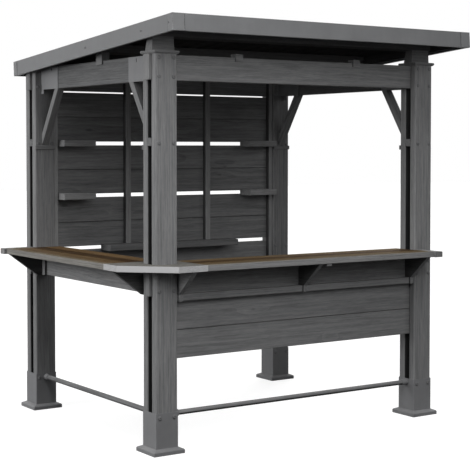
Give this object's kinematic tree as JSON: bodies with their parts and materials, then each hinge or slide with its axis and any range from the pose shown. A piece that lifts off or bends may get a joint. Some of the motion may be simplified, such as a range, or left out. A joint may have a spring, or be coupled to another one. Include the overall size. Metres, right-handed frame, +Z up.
{
  "type": "garden bar gazebo",
  "caption": "Open garden bar shelter on split posts, with a plank counter round two sides, a slatted back wall with shelves and a mono-pitch ribbed metal roof.",
  "frame": {"origin": "middle of the base of the whole gazebo's box, at ground level", "axes": "+X along the bar front to the right, +Y from the bar front to the back wall, +Z up"},
  "size_m": [2.338, 2.0372, 2.4477],
  "materials": {
    "frame_timber": "matt grey stain with fine grain",
    "wall_board": "matt grey stain with fine grain",
    "counter_border": "matt grey stain",
    "counter_plank": "brown oiled planks",
    "post_cover": "satin grey paint",
    "beam_plate": "satin grey paint",
    "roof_metal": "smooth grey coated sheet",
    "roof_sheet_metal": "dark grey coated ribbed sheet",
    "roof_timber": "dark grey stain"
  },
  "bodies": {
    "root": {"post_front_left": "frame_timber", "post_front_right": "frame_timber", "post_back_left": "frame_timber", "post_back_right": "frame_timber", "post_spacers": "frame_timber", "post_shoes": "post_cover", "post_plinths": "post_cover", "post_caps": "frame_timber", "roof_risers": "frame_timber", "front_beam": "frame_timber", "back_beam": "frame_timber", "left_beam": "frame_timber", "right_beam": "frame_timber", "beam_end_plates": "beam_plate", "beam_end_blocks": "frame_timber", "roof_struts": "frame_timber", "beam_clips": "frame_timber", "left_knee_braces": "frame_timber", "right_knee_braces": "frame_timber", "brace_seats": "frame_timber", "front_rail": "frame_timber", "left_rail": "frame_timber", "back_rail": "frame_timber", "front_ledge": "frame_timber", "front_panel": "wall_board", "wall_panel_lower": "wall_board", "wall_panel_middle": "wall_board", "wall_panel_upper": "wall_board", "wall_battens": "wall_board", "corner_shelves": "wall_board", "long_shelf": "wall_board", "counter_corner": "counter_border", "front_counter_edge": "counter_border", "front_counter_planks": "counter_plank", "left_counter_edge": "counter_border", "left_counter_planks": "counter_plank", "counter_ends": "counter_border", "front_counter_brackets": "frame_timber", "left_counter_brackets": "frame_timber", "left_rail_cleats": "frame_timber", "counter_joint": "frame_timber", "front_footrest": "frame_timber", "left_footrest": "frame_timber", "footrest_sockets": "frame_timber", "front_fascia": "roof_metal", "back_fascia": "roof_metal", "left_fascia": "roof_metal", "right_fascia": "roof_metal", "fascia_corners": "roof_metal", "roof_rafters": "roof_timber", "roof_rails": "roof_timber", "roof_sheet": "roof_sheet_metal"}
  },
  "joints": []
}
